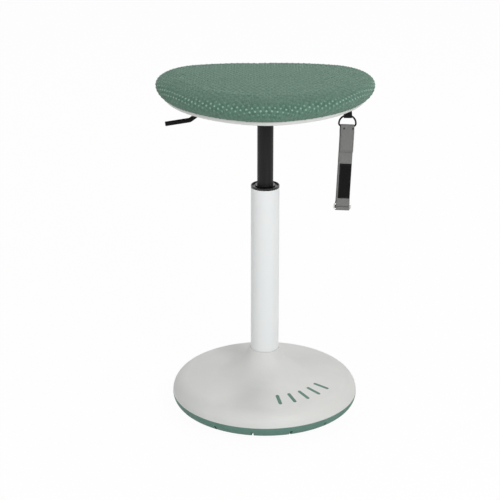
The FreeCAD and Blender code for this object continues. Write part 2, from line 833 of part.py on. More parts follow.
def d_ring():
    half = ring_arch_r - ring_corner_r
    inner = ring_corner_r * math.sqrt(0.5)
    edges = [Part.LineSegment(strap_point(0, bar_z), strap_point(half, bar_z)).toShape(),
             Part.Arc(strap_point(half, bar_z), strap_point(half + inner, arch_z - inner),
                      strap_point(ring_arch_r, arch_z)).toShape(),
             Part.Arc(strap_point(ring_arch_r, arch_z), strap_point(0, arch_z + ring_arch_r),
                      strap_point(-ring_arch_r, arch_z)).toShape(),
             Part.Arc(strap_point(-ring_arch_r, arch_z), strap_point(-half - inner, arch_z - inner),
                      strap_point(-half, bar_z)).toShape(),
             Part.LineSegment(strap_point(-half, bar_z), strap_point(0, bar_z)).toShape()]
    return lean(swept(edges, ring_wire_r))


def slide_ring():
    corner = slide_corner_r
    x1 = slide_half_width
    x0 = x1 - corner
    cut = corner * (1 - math.sqrt(0.5))
    low = slide_low_z
    high = slide_high_z
    stops = [(0, low), (x0, low), (x1 - cut, low + cut), (x1, low + corner), (x1, high - corner),
             (x1 - cut, high - cut), (x0, high), (-x0, high), (cut - x1, high - cut), (-x1, high - corner),
             (-x1, low + corner), (cut - x1, low + cut), (-x0, low), (0, low)]
    points = [strap_point(x, z) for x, z in stops]
    edges = []
    for i in (0, 3, 6, 9):
        edges.append(Part.LineSegment(points[i], points[i + 1]).toShape())
        edges.append(Part.Arc(points[i + 1], points[i + 2], points[i + 3]).toShape())
    edges.append(Part.LineSegment(points[-2], points[-1]).toShape())
    return lean(swept(edges, slide_wire_r))


def ring_tab():
    x0 = strap_x - tab_width / 2
    x1 = strap_x + tab_width / 2
    along = Vector(1, 0, 0)
    loop = Part.makeCylinder(swing_r + tab_t, tab_width, Vector(x0, strap_y, ring_pivot_z), along)
    neck = box(x0, x1, strap_y - tab_neck_t / 2, strap_y + tab_neck_t / 2, ring_pivot_z, pan_bottom_z)
    flat = box(x0, x1, strap_y, strap_y + tab_flat_length, pan_bottom_z - 2 * tab_t, pan_bottom_z)
    eye = Part.makeCylinder(swing_r, tab_width + 2, Vector(x0 - 1, strap_y, ring_pivot_z), along)
    above = box(x0 - 1, x1 + 1, strap_y - tab_flat_length, strap_y + tab_flat_length + 1, pan_bottom_z, board_z)
    tab = loop.fuse([neck, flat]).cut([eye, above]).removeSplitter()
    return tab.cut(rod(tab_hole_r, pan_bottom_z - 2 * tab_t - 1, board_z, strap_x, strap_y + tab_screw_inset))


def tab_screw():
    y = strap_y + tab_screw_inset
    head_z = pan_bottom_z - 2 * tab_t
    shank = rod(tab_screw_r, head_z, pan_bottom_z + pan_t - RUNNING_FIT * 4, strap_x, y)
    return rod(tab_head_r, head_z - tab_head_h, head_z, strap_x, y).fuse(shank).removeSplitter()


def hang_strap():
    """Webbing folded over the ring's bar and round both bars of the slide ring, with its flap in front."""
    bulge = slide_wire_r + slide_bar_gap + web_t
    groove_z = (slide_low_z + slide_high_z) / 2
    ease_z = slide_high_z + slide_ease
    bulge_z = slide_high_z + slide_bulge
    crease_low = groove_z - crease_half
    crease_high = groove_z + crease_half
    profile = flat_face(
        strap_section, (-fold_r, fold_z),
        [((0, fold_z + fold_r), (fold_r, fold_z)), (web_t, fold_z - fold_rise), (web_t, ease_z),
         (bulge, bulge_z), (bulge, slide_low_z), ((0, slide_low_z - bulge), (-bulge, slide_low_z)),
         (-bulge, crease_low), (crease_depth - bulge, crease_low), (crease_depth - bulge, crease_high),
         (-bulge, crease_high), (-bulge, bulge_z), (-web_t, ease_z), (-web_t, flap_z), (-2 * web_t, flap_z)])
    top_hole = flat_face(
        strap_section, (-bar_hole_r, fold_z),
        [((0, fold_z + bar_hole_r), (bar_hole_r, fold_z)), (fold_slit / 2, fold_z - fold_rise + fold_end),
         (-fold_slit / 2, fold_z - fold_rise + fold_end)])
    reach = 2 * web_width
    solid = profile.extrude(Vector(reach, 0, 0)).cut(top_hole.extrude(Vector(reach, 0, 0)))
    solid.translate(Vector(-reach / 2, 0, 0))
    for z in (slide_low_z, slide_high_z):
        bar_start = Vector(strap_x - reach / 2, strap_y, z)
        solid = solid.cut(Part.makeCylinder(slide_wire_r + slide_bar_gap, reach, bar_start, Vector(1, 0, 0)))
    left = strap_x - web_width / 2
    right = strap_x + web_width / 2
    front = strap_y - fold_r - 1
    back = strap_y + fold_r + 1
    low = slide_low_z - bulge - 1
    split_z = fold_z - fold_rise
    keep = [box(left, right, front, back, split_z - 1, fold_z + fold_r + 1),
            box(left + web_shift, right + web_shift, front, strap_y, low, split_z),
            box(left - web_shift, right - web_shift, strap_y, back, low, split_z)]
    return lean(solid.common(keep[0].fuse(keep[1:])).removeSplitter())


def strap_label():
    top = fold_z + fold_r - label_drop
    x = strap_x + label_shift
    return lean(box(x - label_width / 2, x + label_width / 2, strap_y - web_t - label_t, strap_y - web_t,
                    top - label_length, top))


save("base_sole", base_sole())
save("base_shell", base_shell())
save("base_inlays", base_inlays())
save("base_screws", base_screws())
save("base_plate", base_plate())
save("ballast_ring", ring(ballast_out_r, ballast_in_r, flange_z, flange_z + ballast_h))
save("column_flange", column_flange())
save("flange_bolts", flange_bolts())
save("column_tube", ring(tube_r, tube_in_r, flange_z, tube_top_z))
save("column_disc", ring(tube_in_r, rod_tail_r + LOOSE_GAP, disc_z, bearing_z))
save("guide_bush", guide_bush())
save("bearing_washer_lower", ring(bearing_r, rod_tail_r + LOOSE_GAP, bearing_z, bearing_z + washer_t))
save("bearing_cage", bearing_cage())
save("bearing_balls", bearing_balls())
save("bearing_washer_upper", ring(bearing_r, rod_tail_r + RUNNING_FIT, upper_washer_z, rod_z))
save("bump_stop", ring(bumper_r, rod_r + LOOSE_GAP, rod_z, rod_z + bumper_h))
save("piston_rod", piston_rod())
save("rod_washer", ring(clip_r + rod_washer_over, rod_tail_r + RUNNING_FIT, disc_z - clip_t, disc_z - clip_fit))
save("retaining_clip", retaining_clip())
save("piston", piston())
save("piston_seal", piston_seal())
save("gas_cylinder", gas_cylinder())
save("rod_guide", ring(cyl_in_r, rod_r + RUNNING_FIT, cyl_bottom_z, cyl_bottom_z + guide_t))
save("rod_seal", ring(cyl_in_r, rod_r + RUNNING_FIT, cyl_bottom_z + guide_t, cyl_bottom_z + guide_t + seal_t))
save("valve_block", valve_block())
save("release_button", release_button())
save("seat_cover", seat_cover())
save("seat_foam", seat_foam())
save("seat_board", seat_board())
save("t_nuts", t_nuts())
save("seat_shell", seat_shell())
save("pan_screws", pan_screws())
save("cover_staples", group(cover_staples()))
save("seat_plate", seat_plate())
save("taper_socket", taper_socket())
save("plate_bolts", plate_bolts())
save("lever", round_wire(lever_path(), lever_bend_r, lever_r))
save("lever_block", lever_block())
save("lever_pins", lever_pins())
save("ring_tab", ring_tab())
save("tab_screw", tab_screw())
save("d_ring", d_ring())
save("hang_strap", hang_strap())
save("strap_label", strap_label())
save("slide_ring", slide_ring())
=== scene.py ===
import math

import bpy
import numpy as np
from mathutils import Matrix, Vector
from mathutils.bvhtree import BVHTree


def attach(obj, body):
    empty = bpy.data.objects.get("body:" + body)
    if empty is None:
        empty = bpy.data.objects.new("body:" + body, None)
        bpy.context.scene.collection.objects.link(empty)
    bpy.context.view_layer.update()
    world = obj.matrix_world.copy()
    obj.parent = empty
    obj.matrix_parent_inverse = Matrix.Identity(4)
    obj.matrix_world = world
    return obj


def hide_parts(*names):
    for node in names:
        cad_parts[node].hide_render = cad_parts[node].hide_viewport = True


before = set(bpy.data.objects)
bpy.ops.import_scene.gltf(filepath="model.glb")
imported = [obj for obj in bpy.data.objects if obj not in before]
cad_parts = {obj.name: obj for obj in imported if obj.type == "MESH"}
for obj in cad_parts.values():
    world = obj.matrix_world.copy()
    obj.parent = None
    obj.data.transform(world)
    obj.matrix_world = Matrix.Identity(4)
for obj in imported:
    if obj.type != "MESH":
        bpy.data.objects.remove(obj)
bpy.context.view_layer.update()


# The rocking sole: one moulding of green rubber with a low domed underside, a flat middle to stand on and
# tread grooves from the dome to its rim. It is matt, a little mottled, and dusty near the floor.

mm = 0.001


def srgb(red, green, blue):
    """A colour as it looks on a screen, 0 to 255, as the linear one that a shader takes."""
    linear = [c / 255 / 12.92 if c < 10 else ((c / 255 + 0.055) / 1.055) ** 2.4 for c in (red, green, blue)]
    return (*linear, 1.0)


class Amount:
    """A value that changes over a surface. Sums written with it add the nodes that work it out."""

    def __init__(self, finish, socket):
        self.finish = finish
        self.socket = socket

    def combine(self, operation, *values):
        return self.finish.node("ShaderNodeMath", {"operation": operation}, dict(enumerate(values)))

    def __add__(self, other):
        return self.combine("ADD", self, other)

    def __radd__(self, other):
        return self.combine("ADD", other, self)

    def __sub__(self, other):
        return self.combine("SUBTRACT", self, other)

    def __rsub__(self, other):
        return self.combine("SUBTRACT", other, self)

    def __mul__(self, other):
        return self.combine("MULTIPLY", self, other)

    def __rmul__(self, other):
        return self.combine("MULTIPLY", other, self)

    def cosine(self):
        return self.combine("COSINE", self)

    def size(self):
        return self.combine("ABSOLUTE", self)

    def rise(self, low, high):
        """0 below low, 1 above high, and smooth between them."""
        return self.finish.node("ShaderNodeMapRange", {"interpolation_type": "SMOOTHSTEP"},
                                {"Value": self, "From Min": low, "From Max": high})


class Finish:
    """A material: one shader with its fixed values, and nodes that change it over the surface."""

    def __init__(self, name, **fixed):
        self.material = bpy.data.materials.new(name)
        self.material.use_nodes = True
        self.tree = self.material.node_tree
        self.tree.nodes.clear()
        self.shader = self.tree.nodes.new("ShaderNodeBsdfPrincipled")
        self.output = self.tree.nodes.new("ShaderNodeOutputMaterial")
        self.tree.links.new(self.shader.outputs[0], self.output.inputs["Surface"])
        for socket, value in fixed.items():
            self.feed(self.shader.inputs[socket.replace("_", " ")], value)
        self.coordinates = self.tree.nodes.new("ShaderNodeTexCoord")

    def feed(self, socket, value):
        if isinstance(value, Amount):
            self.tree.links.new(value.socket, socket)
        else:
            socket.default_value = value

    def node(self, kind, settings, inputs, output=0):
        made = self.tree.nodes.new(kind)
        for name, value in settings.items():
            setattr(made, name, value)
        for name, value in inputs.items():
            self.feed(made.inputs[name], value)
        return Amount(self, made.outputs[output])

    def place(self, scale=(1, 1, 1), turn=(0, 0, 0), flat=False):
        """Where the point is: on the object, or on the cloth's own flat pattern."""
        source = Amount(self, self.coordinates.outputs["UV" if flat else "Object"])
        return self.node("ShaderNodeMapping", {}, {"Vector": source, "Scale": scale, "Rotation": turn})

    def axis(self, place, name):
        return self.node("ShaderNodeSeparateXYZ", {}, {"Vector": place}, "XYZ".index(name))

    def noise(self, scale, detail, place=None, rough=0.5):
        return self.node("ShaderNodeTexNoise", {}, {"Vector": place or self.place(), "Scale": scale,
                                                    "Detail": detail, "Roughness": rough})

    def colour(self, share, one, other):
        return self.node("ShaderNodeMix", {"data_type": "RGBA"}, {0: share, 6: one, 7: other}, 2)

    def relief(self, height, depth):
        return self.node("ShaderNodeBump", {}, {"Height": height, "Distance": depth, "Strength": 1.0})

    def surface(self, colour, roughness, relief=None, metallic=None):
        self.feed(self.shader.inputs["Base Color"], colour)
        self.feed(self.shader.inputs["Roughness"], roughness)
        if relief is not None:
            self.feed(self.shader.inputs["Normal"], relief)
        if metallic is not None:
            self.feed(self.shader.inputs["Metallic"], metallic)
        return self.material


def dress(material, *nodes):
    """Gives CAD nodes their finish."""
    for name in nodes:
        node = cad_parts[name]
        for slot in node.material_slots:
            slot.material = material


dust_top = 7 * mm
rubber = Finish("green_rubber", Specular_IOR_Level=0.35)
mottle = rubber.noise(38, 4)
grain = rubber.noise(1400, 2)
dust = (1 - rubber.axis(rubber.place(), "Z").rise(0.0, dust_top)) * rubber.noise(90, 5).rise(0.42, 0.7)
rubber_colour = rubber.colour(mottle.rise(0.3, 0.7), srgb(91, 127, 116), srgb(99, 136, 124))
rubber_colour = rubber.colour(dust * 0.45, rubber_colour, srgb(132, 150, 142))
rubber_material = rubber.surface(rubber_colour, 0.56 + 0.14 * mottle + 0.12 * dust,
                                 rubber.relief(grain, 0.12 * mm))
dress(rubber_material, "base_sole", "base_inlays")


# Inside the foot: a steel plate carries the iron ballast ring and the flange that is welded to the column.
# Six zinc screws come up through the sole and the plate into the bosses under the shell.

zinc = Finish("zinc_plate")
swirl = zinc.noise(220, 4)
frost = zinc.node("ShaderNodeTexVoronoi", {"feature": "F1"}, {"Vector": zinc.place(), "Scale": 700.0})
zinc_material = zinc.surface(zinc.colour(swirl, srgb(176, 178, 178), srgb(206, 207, 203)),
                             0.28 + 0.22 * swirl, zinc.relief(frost, 0.05 * mm), 0.9 + 0.1 * swirl)
steel = Finish("plain_steel")
drawn = steel.noise(60, 4, steel.place((1, 1, 14)))
stain = steel.noise(26, 5)
steel_colour = steel.colour(stain.rise(0.45, 0.75), srgb(168, 168, 170), srgb(140, 136, 132))
steel_material = steel.surface(steel_colour, 0.3 + 0.25 * drawn, steel.relief(drawn, 0.06 * mm),
                               0.95 + 0.05 * drawn)
iron = Finish("raw_casting")
pits = iron.noise(420, 6, rough=0.7)
iron_material = iron.surface(iron.colour(pits, srgb(58, 58, 60), srgb(96, 95, 94)), 0.6 + 0.3 * pits,
                             iron.relief(pits, 0.5 * mm), 0.35 + 0.3 * pits)
dress(zinc_material, "base_screws", "flange_bolts")
dress(steel_material, "base_plate", "column_flange")
dress(iron_material, "ballast_ring")


# The base shell: one off-white moulding that flares up to a hub round the column. Its skin is the fine
# spark texture of the mould. Five green rubber bars are pressed into pockets at the front right.

shell = Finish("white_moulding", Specular_IOR_Level=0.42)
spark = shell.noise(1100, 3, rough=0.7)
cloud = shell.noise(9, 3)
speck = shell.node("ShaderNodeTexVoronoi", {"feature": "F1"}, {"Vector": shell.place(), "Scale": 1500.0})
shell_colour = shell.colour(cloud.rise(0.35, 0.65), srgb(219, 220, 217), srgb(225, 225, 222))
shell_colour = shell.colour(spark.rise(0.35, 0.75) * 0.35, shell_colour, srgb(208, 209, 207))
shell_material = shell.surface(shell_colour, 0.5 + 0.12 * spark,
                               shell.relief(spark + 0.4 * speck, 0.16 * mm))
dress(shell_material, "base_shell")


# The column: a welded steel tube with a smooth pale grey powder coat. A black moulded guide bush is
# pressed into its top, with a recessed ring and a boss that closes round the cylinder.

coat = Finish("pale_powder_coat", Specular_IOR_Level=0.5)
peel = coat.noise(260, 2)
drift = coat.noise(7, 2, coat.place((1, 1, 0.4)))
coat_material = coat.surface(coat.colour(drift.rise(0.3, 0.7), srgb(233, 236, 236), srgb(238, 240, 240)),
                             0.38 + 0.1 * peel, coat.relief(peel, 0.08 * mm))
bush = Finish("black_moulding", Specular_IOR_Level=0.5)
satin = bush.noise(500, 3)
streak = bush.noise(70, 3, bush.place((1, 1, 0.2)))
bush_material = bush.surface(bush.colour(streak, srgb(10, 10, 11), srgb(20, 20, 21)), 0.16 + 0.16 * satin,
                             bush.relief(satin, 0.03 * mm))
dress(coat_material, "column_tube")
dress(bush_material, "guide_bush", "bearing_cage", "rod_guide", "release_button", "lever_block")


# Inside the column: the piston rod is held by a clip under the closing disc and turns on a ball bearing.
# Its piston slides in the cylinder, which is how the seat turns and rises.

black_rubber = Finish("black_rubber", Specular_IOR_Level=0.3)
bloom = black_rubber.noise(300, 4)
black_rubber_material = black_rubber.surface(black_rubber.colour(bloom, srgb(26, 26, 27), srgb(44, 44, 44)),
                                             0.65 + 0.2 * bloom, black_rubber.relief(bloom, 0.1 * mm))
nickel = Finish("bright_nickel")
rub = nickel.noise(900, 3)
nickel_material = nickel.surface(nickel.colour(rub, srgb(214, 213, 208), srgb(236, 235, 231)),
                                 0.1 + 0.14 * rub, nickel.relief(rub, 0.02 * mm), 0.96 + 0.04 * rub)
dress(steel_material, "column_disc", "bearing_washer_lower", "bearing_washer_upper", "bearing_balls",
      "retaining_clip", "piston", "valve_block")
dress(zinc_material, "rod_washer")
dress(nickel_material, "piston_rod")
dress(black_rubber_material, "bump_stop", "piston_seal", "rod_seal")


# The gas cylinder: a drawn steel tube in satin black paint, with faint streaks along it from the draw and
# from sliding in the bush. Its ground taper sits in the socket of the seat plate.

cylinder = Finish("satin_black_paint", Specular_IOR_Level=0.28)
along = cylinder.noise(330, 3, cylinder.place((1, 1, 0.03)))
mist = cylinder.noise(600, 3)
cylinder_colour = cylinder.colour(along.rise(0.3, 0.75), srgb(8, 8, 9), srgb(22, 22, 23))
cylinder_material = cylinder.surface(cylinder_colour, 0.42 + 0.16 * along, cylinder.relief(mist, 0.04 * mm))
dress(cylinder_material, "gas_cylinder")


# The seat plate is pressed from sheet steel with a channel across it for the lever, and the taper socket is
# welded into it. The lever is a bent rod that tips in a moulded block on two pins. Plate, socket and lever
# are powder coated black, and the bolts and screws that hold the seat together are zinc plated.

powder = Finish("black_powder_coat", Specular_IOR_Level=0.14)
orange = powder.noise(420, 3)
worn = powder.noise(35, 5)
powder_material = powder.surface(powder.colour(worn.rise(0.4, 0.75), srgb(5, 5, 6), srgb(12, 12, 13)),
                                 0.42 + 0.18 * orange, powder.relief(orange, 0.14 * mm))
dress(powder_material, "seat_plate", "taper_socket", "lever", "tab_screw")
dress(zinc_material, "plate_bolts", "lever_pins", "pan_screws", "t_nuts")


# The seat pan: an off-white tray, moulded like the base shell, whose rim shows below the cushion.
# The plywood board, with the foam and the cover's stapled hem, is screwed into it from below.

veneer = 1.4 * mm
wood = Finish("plywood")
plies = (wood.axis(wood.place(), "Z") * (2 * math.pi / veneer)).cosine()
figure = wood.noise(30, 6, wood.place((1, 9, 1)))
wood_colour = wood.colour(figure.rise(0.3, 0.7), srgb(202, 176, 136), srgb(178, 146, 104))
wood_colour = wood.colour(0.2 + 0.2 * plies, wood_colour, srgb(140, 106, 70))
wood_material = wood.surface(wood_colour, 0.7 + 0.15 * figure, wood.relief(figure, 0.2 * mm))
dress(wood_material, "seat_board")
dress(steel_material, "cover_staples")
dress(shell_material, "seat_shell")


# The cushion: moulded foam on the board under a green spacer knit that is pulled tight over the edge and
# stapled below. It is a rounded triangle in plan, low in the crown, and tucks in behind the pan's rim.

half_width = 192.0 * mm
corner_y = 51.6 * mm
back_y = 148.7 * mm
front_y = -140.8 * mm
corner_r = 80.4 * mm
front_r = 118.4 * mm
side_r = 217.5 * mm
wide_z = 588.0 * mm
round_in, round_up = 39.0 * mm, 20.7 * mm
under_in, under_down = 14.2 * mm, 18.5 * mm
crown = 6.0 * mm
tuck_in, tuck_step, tuck_down = 3.1 * mm, 0.2 * mm, 3.6 * mm
outline_step = 0.4 * mm
middle = np.array([0.0, (back_y + front_y) / 2])


def seat_plan(step):
    """Points along the widest outline, anticlockwise, with the outward direction at each."""
    corner = Vector((half_width - corner_r, corner_y))
    front = Vector((0, front_y + front_r))
    rise = back_y - corner_y
    back_r = (corner.x ** 2 + rise ** 2 - corner_r ** 2) / (2 * (rise - corner_r))
    back = Vector((0, back_y - back_r))
    span = front - corner
    to_corner, to_front = side_r - corner_r, side_r - front_r
    share = (to_corner ** 2 - to_front ** 2 + span.length ** 2) / (2 * span.length)
    off = math.sqrt(to_corner ** 2 - share ** 2)
    unit = span.normalized()
    side = corner + unit * share + Vector((unit.y, -unit.x)) * off

    def bearing(start, end):
        return math.atan2(end.y - start.y, end.x - start.x)

    turns = [-math.pi / 2, bearing(side, front), bearing(side, corner), bearing(back, corner), math.pi / 2]
    arcs = [(front, front_r), (side, side_r), (corner, corner_r), (back, back_r)]
    points, outward = [], []
    for (centre, radius), start, end in zip(arcs, turns, turns[1:]):
        count = max(2, round(radius * abs(end - start) / step))
        for i in range(count):
            angle = start + (end - start) * (i + 0.5) / count
            outward.append((math.cos(angle), math.sin(angle)))
            points.append((centre.x + radius * math.cos(angle), centre.y + radius * math.sin(angle)))
    points, outward = np.array(points), np.array(outward)
    flip = np.array([-1.0, 1.0])
    return np.vstack([points, points[::-1] * flip]), np.vstack([outward, outward[::-1] * flip])


edge, edge_out = seat_plan(outline_step)
plateau = edge - edge_out * round_in


curve_steps, angle_steps = 60, 80


def quarter_length(a, b, angle):
    """Length along a quarter ellipse from its b end, for an angle from 0 to a right angle."""
    steps = np.linspace(0, 1, curve_steps)[:, None] * np.atleast_1d(angle)[None, :]
    x, z = a * np.sin(steps), b * np.cos(steps)
    return np.hypot(np.diff(x, axis=0), np.diff(z, axis=0)).sum(0)


angles = np.linspace(0, math.pi / 2, angle_steps)
over_lengths = quarter_length(round_in, round_up, angles)
under_lengths = quarter_length(under_down, under_in, angles)
over_length, under_length = over_lengths[-1], under_lengths[-1]


def plateau_radius(offset):
    """How far the plateau's outline is from the middle, in the direction of each offset from it."""
    bearings = np.arctan2(plateau[:, 1] - middle[1], plateau[:, 0])
    order = np.argsort(bearings)
    radii = np.hypot(plateau[:, 0], plateau[:, 1] - middle[1])[order]
    return np.interp(np.arctan2(offset[:, 1], offset[:, 0]), bearings[order], radii, period=2 * math.pi)


def nearest_edge(points):
    """The plateau's nearest outline point for each plan point, its outward direction and the distance."""
    few_at_once = np.array_split(points, 1 + len(points) // 400)
    picked = np.concatenate([np.argmin(part @ (-2 * plateau.T) + (plateau ** 2).sum(1), axis=1)
                             for part in few_at_once])
    out = edge_out[picked]
    return plateau[picked], out, ((points - plateau[picked]) * out).sum(1)


def on_cushion(flat):
    """Points of the cover's flat pattern as they lie on the cushion, and how far each is over the edge."""
    start, out, over = nearest_edge(flat)
    offset = flat - middle
    reach = np.hypot(offset[:, 0], offset[:, 1]) / plateau_radius(offset)
    inside = over <= 0
    turn = np.interp(over, over_lengths, angles)
    below = np.interp(over - over_length, under_lengths, angles)
    sideways = round_in * np.sin(turn) - under_in * (1 - np.cos(below))
    height = round_up * np.cos(turn) - under_down * np.sin(below)
    xy = np.where(inside[:, None], flat, start + out * sideways[:, None])
    z = np.where(inside, wide_z + round_up + crown * (1 - reach ** 2), wide_z + height)
    return np.column_stack([xy, z]), over


def flat_pattern(points):
    """Where points on the cushion lie in the cover's flat pattern."""
    start, out, over = nearest_edge(points[:, :2])
    turn = np.arctan2(np.clip(over, 0, None) / round_in, np.clip(points[:, 2] - wide_z, 0, None) / round_up)
    below = np.arcsin(np.clip((wide_z - points[:, 2]) / under_down, 0, 1))
    length = np.interp(turn, angles, over_lengths) + np.interp(below, angles, under_lengths)
    return np.where((over <= 0)[:, None], points[:, :2], start + out * length[:, None])


def new_piece(name, points, faces, material):
    mesh = bpy.data.meshes.new(name)
    mesh.from_pydata([tuple(p) for p in points], [], faces)
    mesh.validate()
    mesh.materials.append(material)
    mesh.polygons.foreach_set("use_smooth", [True] * len(mesh.polygons))
    piece = bpy.data.objects.new(name, mesh)
    bpy.context.scene.collection.objects.link(piece)
    return piece


grid_cells = 56
over_rows, under_rows = 10, 6


def cushion_form(shrink):
    """The closed form: a square grid fitted to the plateau, rows down its side, the tuck and a flat base."""
    cells = grid_cells
    line = np.linspace(-1, 1, cells + 1)
    gx, gy = np.meshgrid(line, line)
    disc = np.column_stack([(gx * np.sqrt(1 - gy ** 2 / 2)).ravel(),
                            (gy * np.sqrt(1 - gx ** 2 / 2)).ravel()])
    radius = np.hypot(disc[:, 0], disc[:, 1])
    top = middle + disc * (plateau_radius(disc) - shrink)[:, None]
    points = [*np.column_stack([top, wide_z + round_up - shrink + crown * (1 - radius ** 2)])]
    side = cells + 1
    faces = [(j * side + i, j * side + i + 1, (j + 1) * side + i + 1, (j + 1) * side + i)
             for j in range(cells) for i in range(cells)]
    rim = list(range(cells)) + [j * side + cells for j in range(cells)]
    rim += [cells * side + i for i in range(cells, 0, -1)] + [j * side for j in range(cells, 0, -1)]
    start, out, _ = nearest_edge(np.array([points[i][:2] for i in rim]))
    profile = [(round_in * math.sin(a), round_up * math.cos(a))
               for a in np.linspace(0, math.pi / 2, over_rows + 1)[1:]]
    profile += [(round_in - under_in * (1 - math.cos(a)), -under_down * math.sin(a))
                for a in np.linspace(0, math.pi / 2, under_rows + 1)[1:]]
    profile += [(round_in - under_in - tuck_in, -under_down - tuck_step),
                (round_in - under_in - tuck_in, -under_down - tuck_down)]
    before = rim
    for sideways, up in profile:
        row = list(range(len(points), len(points) + len(rim)))
        points += [*np.column_stack([start + out * (sideways - shrink), np.full(len(rim), wide_z + up)])]
        faces += [(before[i], row[i], row[(i + 1) % len(rim)], before[(i + 1) % len(rim)])
                  for i in range(len(rim))]
        before = row
    low = dict(zip(rim, before))
    low_z = wide_z - under_down - tuck_down
    for place in range(side * side):
        if place not in low:
            low[place] = len(points)
            points.append(np.array([*top[place], low_z]))
    faces += [tuple(low[corner] for corner in reversed(face)) for face in faces[:cells * cells]]
    return np.array(points), faces


knit = Finish("green_spacer_knit", Sheen_Weight=0.32, Sheen_Roughness=0.45,
              Sheen_Tint=(0.8, 1.0, 0.88, 1.0), Specular_IOR_Level=0.25)
dot_pitch = 9.8 * mm
loop_pitch = dot_pitch / 6
pattern = knit.place(flat=True)
across, down = knit.axis(pattern, "X"), knit.axis(pattern, "Y")


def lattice(pitch):
    """A hexagonal lattice of round highs, from -1.5 to 3, with its rows across the seat."""
    wave = 4 * math.pi / (math.sqrt(3) * pitch)
    slant, half = across * (wave * math.sqrt(0.75)), down * (wave / 2)
    return (down * wave).cosine() + (slant + half).cosine() + (slant - half).cosine()


loops, swell = lattice(loop_pitch), lattice(dot_pitch)
yarn = knit.noise(420, 3, pattern)
melange = knit.noise(250, 2, knit.place((1.0, 0.4, 1.0), (0, 0, 0.6), flat=True), 0.6)
patch = knit.noise(11, 3, pattern)
knit_colour = knit.colour(loops.rise(-1.4, 1.6), srgb(66, 100, 84), srgb(97, 135, 117))
knit_colour = knit.colour(swell.rise(-1.5, 2.6) * 0.25, knit_colour, srgb(112, 150, 133))
knit_colour = knit.colour(yarn.rise(0.35, 0.7) * 0.3, knit_colour, srgb(74, 110, 94))
knit_colour = knit.colour(melange.rise(0.42, 0.62) * 0.32, knit_colour, srgb(126, 162, 144))
knit_colour = knit.colour(patch.rise(0.3, 0.7) * 0.12, knit_colour, srgb(106, 140, 124))
knit_material = knit.surface(knit_colour, 0.78 + 0.14 * yarn,
                             knit.relief(loops * 0.22 + yarn * 0.3 + swell * 0.25, 0.5 * mm))

start_smaller = 1.2 * mm
most_swell = 1.6 * mm
swell_frames = 20
form, form_faces = cushion_form(start_smaller)
full_form, _ = cushion_form(0.0)
cushion = new_piece("cushion", form, form_faces, knit_material)
held = cushion.vertex_groups.new(name="held")
first_held = (grid_cells + 1) ** 2 + 4 * grid_cells * (over_rows + under_rows - 2)
held.add(list(range(first_held, len(form))), 1.0, "REPLACE")
cloth = cushion.modifiers.new("cover", "CLOTH")
cloth.settings.quality = 6
cloth.settings.mass = 0.3
cloth.settings.tension_stiffness = 40
cloth.settings.compression_stiffness = 40
cloth.settings.bending_stiffness = 8
cloth.settings.use_pressure = True
cloth.settings.uniform_pressure_force = 4.0
cloth.settings.vertex_group_mass = "held"
cloth.settings.effector_weights.gravity = 0
cloth.point_cache.frame_start = 1
cloth.point_cache.frame_end = swell_frames
for moment in range(1, swell_frames + 1):
    bpy.context.scene.frame_set(moment)
blown = cushion.evaluated_get(bpy.context.evaluated_depsgraph_get()).to_mesh()
grown = np.array([v.co[:] for v in blown.vertices])
cushion.modifiers.remove(cloth)
bpy.context.scene.frame_set(1)
change = grown - form
length = np.linalg.norm(change, axis=1, keepdims=True)
form = form + change * np.minimum(1, most_swell / np.maximum(length, 1e-9))
form[first_held:] = full_form[first_held:]
cushion.data.vertices.foreach_set("co", form.ravel())
cushion.vertex_groups.clear()
finer = cushion.modifiers.new("finer", "SUBSURF")
finer.levels = finer.render_levels = 1
smooth_mesh = bpy.data.meshes.new_from_object(cushion.evaluated_get(bpy.context.evaluated_depsgraph_get()))
cushion.modifiers.remove(finer)
cushion.data = smooth_mesh
smooth_mesh.name = "cushion"


def lay_pattern(mesh, flat):
    """Gives each corner of a mesh its point's place in the cloth's flat pattern."""
    pattern_map = mesh.uv_layers.new(name="pattern")
    corner_points = np.empty(len(mesh.loops), int)
    mesh.loops.foreach_get("vertex_index", corner_points)
    pattern_map.data.foreach_set("uv", flat[corner_points].ravel())


lay_pattern(smooth_mesh, flat_pattern(np.array([v.co[:] for v in smooth_mesh.vertices])))
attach(cushion, "seat")
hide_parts("seat_cover", "seat_foam")


# The knit's raised dots: little domes of yarn in staggered rows over the whole cover, down to its tuck at
# the pan. In a belt round the edge they are painted paler: a painted highlight where the rounding catches the
# light.

dot_r = 1.95 * mm
dot_h = 0.7 * mm
dot_row = 7.2 * mm
first_row = -174.2 * mm
pattern_depth = 348.8 * mm
dots_each_side = 24
bare_hem = 1.5 * mm
highlight_over_edge, highlight_spread = 42.5 * mm, 8.5 * mm


